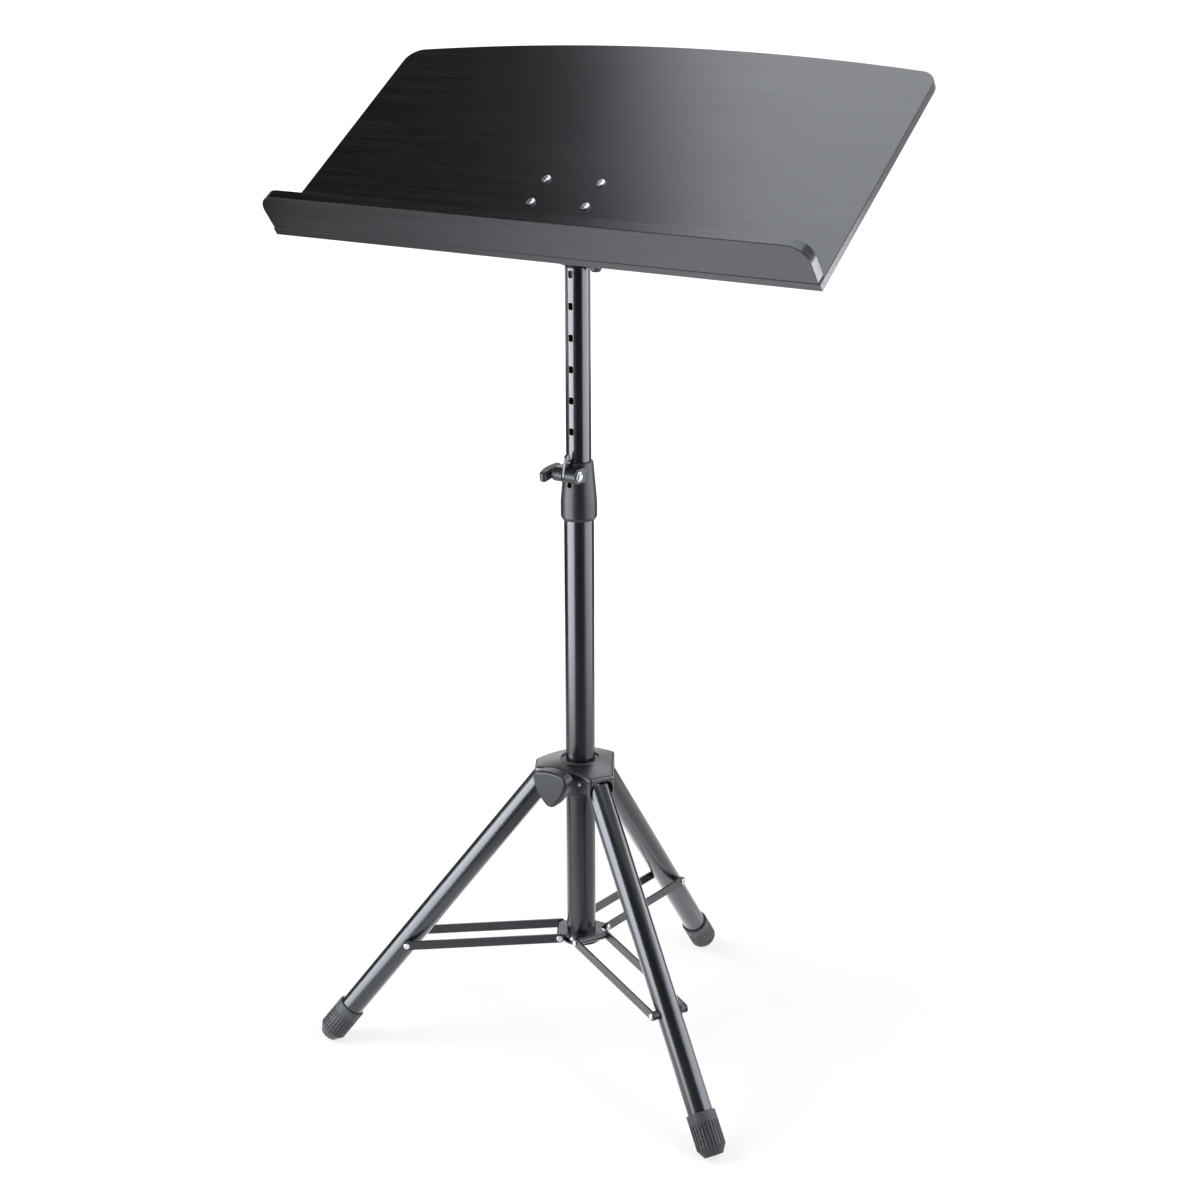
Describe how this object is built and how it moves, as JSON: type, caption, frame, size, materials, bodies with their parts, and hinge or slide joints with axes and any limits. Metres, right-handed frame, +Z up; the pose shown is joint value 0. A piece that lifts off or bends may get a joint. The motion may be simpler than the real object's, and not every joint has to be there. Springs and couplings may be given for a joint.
{
  "type": "music stand",
  "caption": "Folding music stand with a tilting wooden desk and lip, a telescoping tube with a slot lever and clamp, and a braced tripod on rubber feet.",
  "frame": {"origin": "on the floor, under the column axis", "axes": "+Z up the column, -Y toward the player in front of the desk, +X to the player's right"},
  "size_m": [0.625, 0.439, 1.0316],
  "materials": {
    "black_wood": "satin stain",
    "black_tube": "gloss",
    "black_sheet": "satin",
    "black_plastic": "fine grain",
    "nylon": "matte",
    "rubber": "matte",
    "bright_steel": "nickel"
  },
  "bodies": {
    "column": {"outer_tube": "black_tube", "clamp_collar": "black_plastic", "clamp_nut": "bright_steel", "brace_hub": "black_sheet", "hub_rivets": "bright_steel", "column_plug": "black_plastic"},
    "mast": {"inner_tube": "black_tube", "tilt_head": "black_plastic", "friction_washers": "nylon", "mast_guide": "black_plastic"},
    "desk": {"desk_board": "black_wood", "front_lip": "black_wood", "lip_screws": "bright_steel", "desk_bolts": "bright_steel", "desk_nuts": "bright_steel", "bracket_plate": "black_sheet", "tilt_yoke": "black_sheet", "tilt_nut": "bright_steel"},
    "tilt_clamp": {"tilt_handle": "black_plastic", "tilt_screw": "bright_steel"},
    "height_clamp": {"height_handle": "black_plastic", "height_screw": "bright_steel"},
    "lever": {"index_lever": "black_sheet"},
    "bell": {"bell_shell": "black_sheet", "bell_core": "black_plastic", "leg_pins": "bright_steel"},
    "knob": {"tripod_knob": "black_plastic", "knob_stud": "bright_steel"},
    "leg_front": {"leg_front_tube": "black_tube", "leg_front_foot": "rubber", "leg_front_bush": "nylon"},
    "brace_front": {"brace_front_strip_left": "black_sheet", "brace_front_strip_right": "black_sheet", "brace_front_pin": "bright_steel", "brace_front_rivets": "bright_steel"},
    "leg_back": {"leg_back_tube": "black_tube", "leg_back_foot": "rubber", "leg_back_bush": "nylon"},
    "brace_back": {"brace_back_strip_left": "black_sheet", "brace_back_strip_right": "black_sheet", "brace_back_pin": "bright_steel", "brace_back_rivets": "bright_steel"},
    "leg_left": {"leg_left_tube": "black_tube", "leg_left_foot": "rubber", "leg_left_bush": "nylon"},
    "brace_left": {"brace_left_strip_left": "black_sheet", "brace_left_strip_right": "black_sheet", "brace_left_pin": "bright_steel", "brace_left_rivets": "bright_steel"}
  },
  "joints": [
    {"name": "mast_height", "type": "slide", "parent": "column", "child": "mast", "axis": [0, 0, 1], "range_m": [-0.155, 0.186]},
    {"name": "desk_tilt", "type": "hinge", "parent": "mast", "child": "desk", "pos_m": [0, 0, 0.846], "axis": [1, 0, 0], "range_deg": [-36.1, 53.9]},
    {"name": "tilt_screw_turn", "type": "hinge", "parent": "desk", "child": "tilt_clamp", "pos_m": [0, 0, 0.846], "axis": [1, 0, 0], "range_deg": [0, 360]},
    {"name": "height_screw_turn", "type": "hinge", "parent": "column", "child": "height_clamp", "pos_m": [0, -0.02, 0.631], "axis": [-1, 0, 0], "range_deg": [0, 360]},
    {"name": "lever_swing", "type": "hinge", "parent": "column", "child": "lever", "pos_m": [0, -0.02, 0.631], "axis": [1, 0, 0], "range_deg": [-9, 30]},
    {"name": "tripod_fold", "type": "slide", "parent": "column", "child": "bell", "axis": [0, 0, 1], "range_m": [0, 0.224]},
    {"name": "knob_turn", "type": "hinge", "parent": "bell", "child": "knob", "pos_m": [0.00212, -0.04495, 0.31369], "axis": [0.0471, -0.9989, 0], "range_deg": [0, 360]},
    {"name": "leg_front_hinge", "type": "hinge", "parent": "bell", "child": "leg_front", "pos_m": [0.02897, -0.01495, 0.31189], "axis": [0.4586, 0.8886, 0], "range_deg": [0, 38.1]},
    {"name": "brace_front_hinge", "type": "hinge", "parent": "column", "child": "brace_front", "pos_m": [0.01982, -0.01023, 0.1297], "axis": [-0.4586, -0.8886, 0], "range_deg": [0, 90.05]},
    {"name": "leg_back_hinge", "type": "hinge", "parent": "bell", "child": "leg_back", "pos_m": [-0.00154, 0.03256, 0.31189], "axis": [-0.9989, -0.0471, 0], "range_deg": [0, 38.1]},
    {"name": "brace_back_hinge", "type": "hinge", "parent": "column", "child": "brace_back", "pos_m": [-0.00105, 0.02227, 0.1297], "axis": [0.9989, 0.0471, 0], "range_deg": [0, 90.05]},
    {"name": "leg_left_hinge", "type": "hinge", "parent": "bell", "child": "leg_left", "pos_m": [-0.02743, -0.01761, 0.31189], "axis": [0.5402, -0.8415, 0], "range_deg": [0, 38.1]},
    {"name": "brace_left_hinge", "type": "hinge", "parent": "column", "child": "brace_left", "pos_m": [-0.01877, -0.01205, 0.1297], "axis": [-0.5402, 0.8415, 0], "range_deg": [0, 90.05]}
  ],
  "couplings": [
    {"joint": "leg_front_hinge", "follows": "tripod_fold", "rad_per_m": 2.9668},
    {"joint": "brace_front_hinge", "follows": "tripod_fold", "rad_per_m": 7.0146},
    {"joint": "leg_back_hinge", "follows": "tripod_fold", "rad_per_m": 2.9668},
    {"joint": "brace_back_hinge", "follows": "tripod_fold", "rad_per_m": 7.0146},
    {"joint": "leg_left_hinge", "follows": "tripod_fold", "rad_per_m": 2.9668},
    {"joint": "brace_left_hinge", "follows": "tripod_fold", "rad_per_m": 7.0146}
  ]
}
